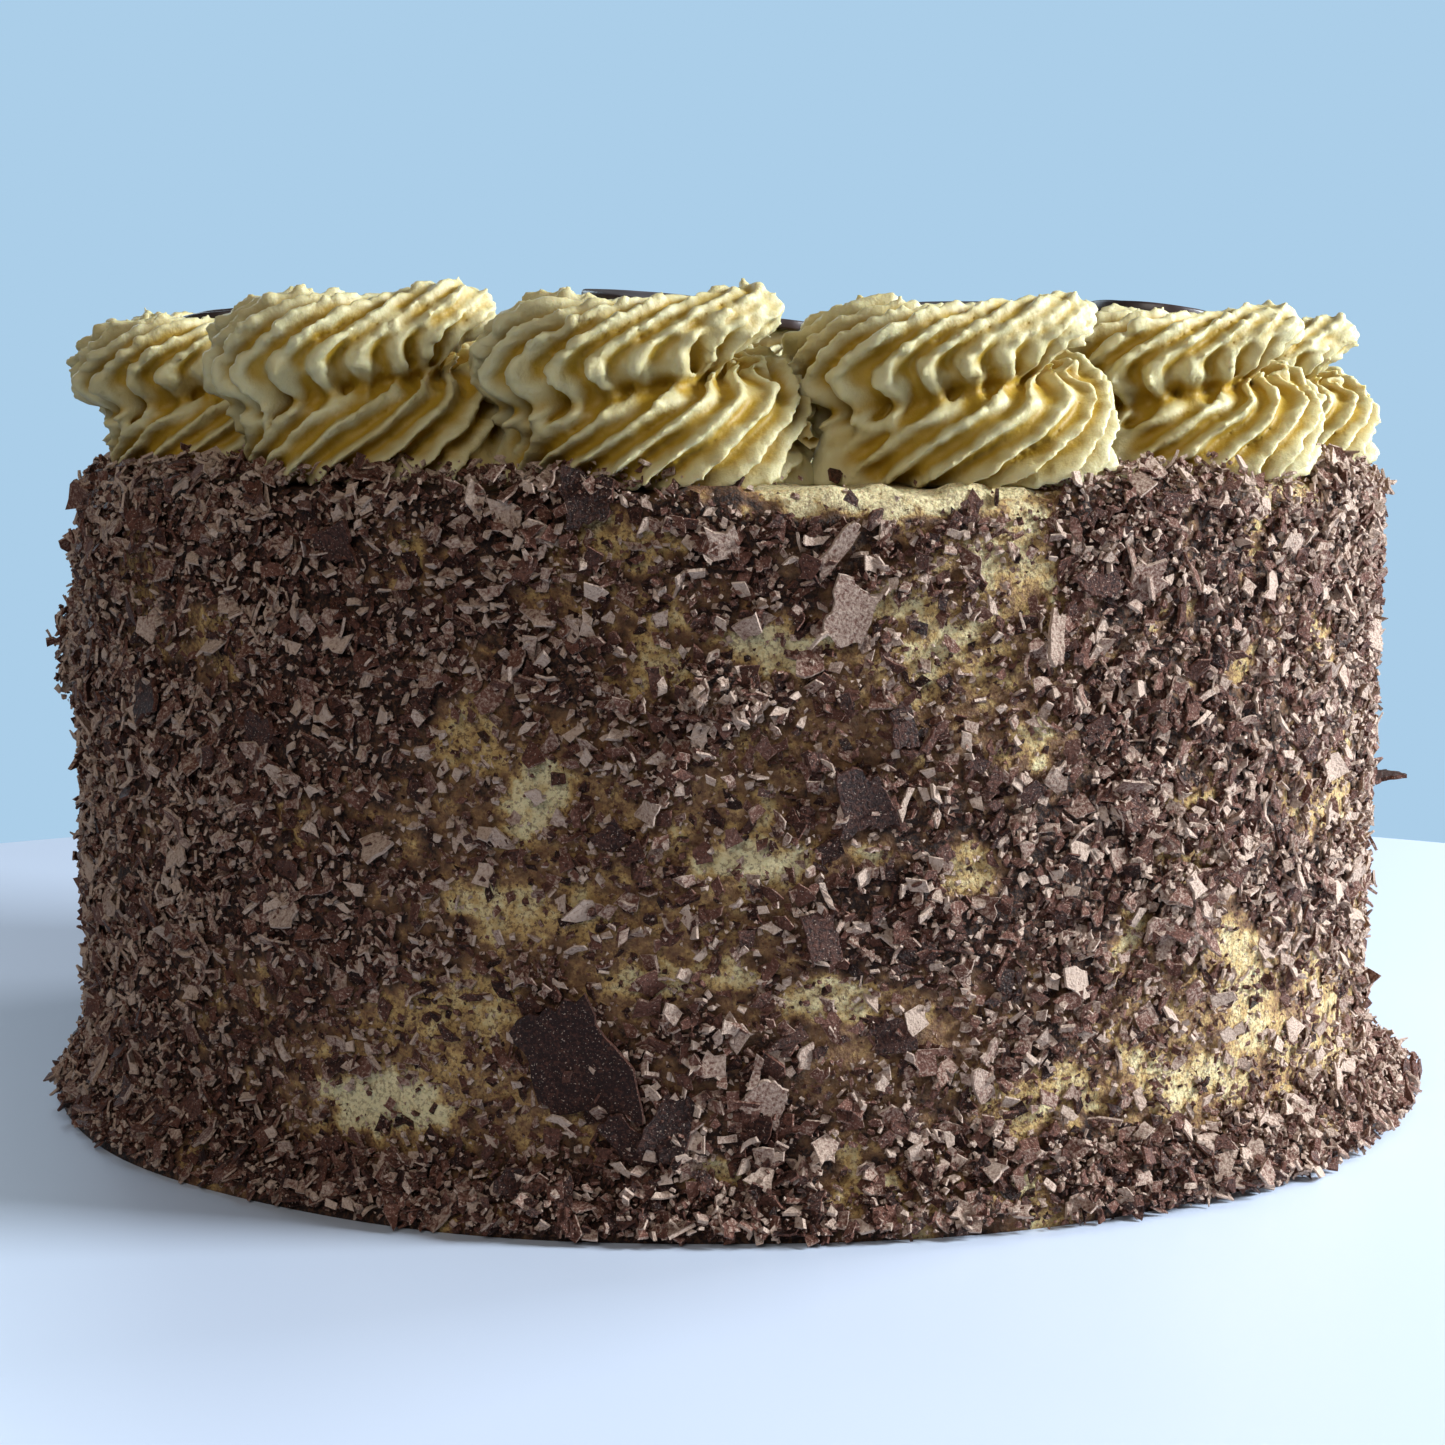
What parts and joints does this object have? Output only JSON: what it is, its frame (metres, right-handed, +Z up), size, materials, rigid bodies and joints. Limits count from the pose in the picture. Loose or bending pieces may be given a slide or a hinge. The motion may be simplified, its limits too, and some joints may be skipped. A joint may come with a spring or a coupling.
{
  "type": "tiramisu cake",
  "caption": "Tall round uncut layer cake with a chocolate-flake wall and a ring of piped coffee buttercream swirls, each holding a thin chocolate disc.",
  "frame": {"origin": "centre of the flat underside", "axes": "+Z up along the cake's axis, the pictured front faces -Y, +X to its right"},
  "size_m": [0.2284, 0.2224, 0.1353],
  "materials": {
    "flake_coat": "matt chocolate shavings with buttercream showing between them",
    "buttercream": "soft satin coffee buttercream, slightly pitted",
    "chocolate": "smooth dark chocolate, satin"
  },
  "bodies": {
    "root": {"cake": "flake_coat", "swirl_01": "buttercream", "swirl_02": "buttercream", "swirl_03": "buttercream", "swirl_04": "buttercream", "swirl_05": "buttercream", "swirl_06": "buttercream", "swirl_07": "buttercream", "swirl_08": "buttercream", "swirl_09": "buttercream", "swirl_10": "buttercream", "swirl_11": "buttercream", "swirl_12": "buttercream", "disc_01": "chocolate", "disc_02": "chocolate", "disc_03": "chocolate", "disc_04": "chocolate", "disc_05": "chocolate", "disc_06": "chocolate", "disc_07": "chocolate", "disc_08": "chocolate", "disc_09": "chocolate", "disc_10": "chocolate", "disc_11": "chocolate", "disc_12": "chocolate"}
  },
  "joints": []
}
